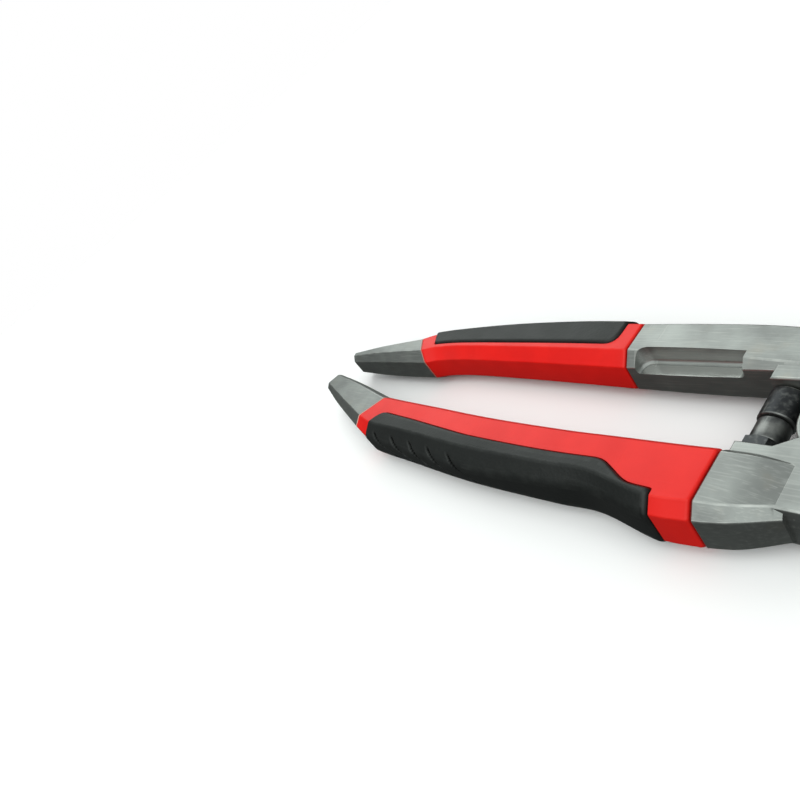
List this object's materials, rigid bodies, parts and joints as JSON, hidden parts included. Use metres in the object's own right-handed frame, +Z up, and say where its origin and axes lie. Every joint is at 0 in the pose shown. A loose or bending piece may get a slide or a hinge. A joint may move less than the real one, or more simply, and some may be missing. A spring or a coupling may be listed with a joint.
{
  "type": "bolt cutters",
  "caption": "Compact lever-action bolt cutters: lapped jaws on toggle-linked handles, red hard shells with black soft pads, and bare steel reaming tips on the handle ends.",
  "frame": {"origin": "bottom centre of the closed tool's bounding box, on the plane that the tool lies on", "axes": "+X along the tool from the reaming tips to the jaws' nose, +Y towards the upper handle, +Z up out of the flat side"},
  "size_m": [0.2618, 0.0566, 0.0155],
  "materials": {
    "forged_steel": "satin forged and shot-blasted, dark grey",
    "ground_steel": "ground tool steel, satin",
    "black_fastener": "black oxide, oiled",
    "red_shell": "moulded hard plastic, satin gloss red",
    "black_pad": "moulded thermoplastic rubber, matt black"
  },
  "bodies": {
    "lower_handle": {"lower_handle_forging": "forged_steel", "lower_grip_shell": "red_shell", "lower_grip_pad": "black_pad", "handle_pivot_bolt": "black_fastener", "handle_pivot_nut": "black_fastener", "lower_toggle_bolt": "black_fastener", "lower_toggle_nut": "black_fastener", "stop_screw": "black_fastener", "stop_lock_nut": "black_fastener"},
    "upper_handle": {"upper_handle_forging": "forged_steel", "upper_grip_shell": "red_shell", "upper_grip_pad": "black_pad", "upper_toggle_bolt": "black_fastener", "upper_toggle_nut": "black_fastener", "stop_anvil": "black_fastener"},
    "lower_jaw": {"lower_jaw_blade": "ground_steel", "jaw_bolt": "black_fastener", "jaw_nut": "black_fastener", "jaw_washer_top": "ground_steel", "jaw_washer_bottom": "ground_steel"},
    "upper_jaw": {"upper_jaw_blade": "ground_steel"}
  },
  "joints": [
    {"name": "handle_pivot", "type": "hinge", "parent": "lower_handle", "child": "upper_handle", "pos_m": [0.0608, 0.00055, 0.00775], "axis": [0, 0, -1], "range_deg": [0, 36]},
    {"name": "lower_toggle", "type": "hinge", "parent": "lower_handle", "child": "lower_jaw", "pos_m": [0.07113, -0.01419, 0.00775], "axis": [0, 0, -1], "range_deg": [0, 24.93]},
    {"name": "jaw_pivot", "type": "hinge", "parent": "lower_jaw", "child": "upper_jaw", "pos_m": [0.10176, 0.00055, 0.00775], "axis": [0, 0, 1], "range_deg": [0, 13.86]}
  ],
  "couplings": [
    {"joint": "lower_toggle", "follows": "handle_pivot", "ratio": 0.6925},
    {"joint": "jaw_pivot", "follows": "handle_pivot", "ratio": 0.385}
  ]
}
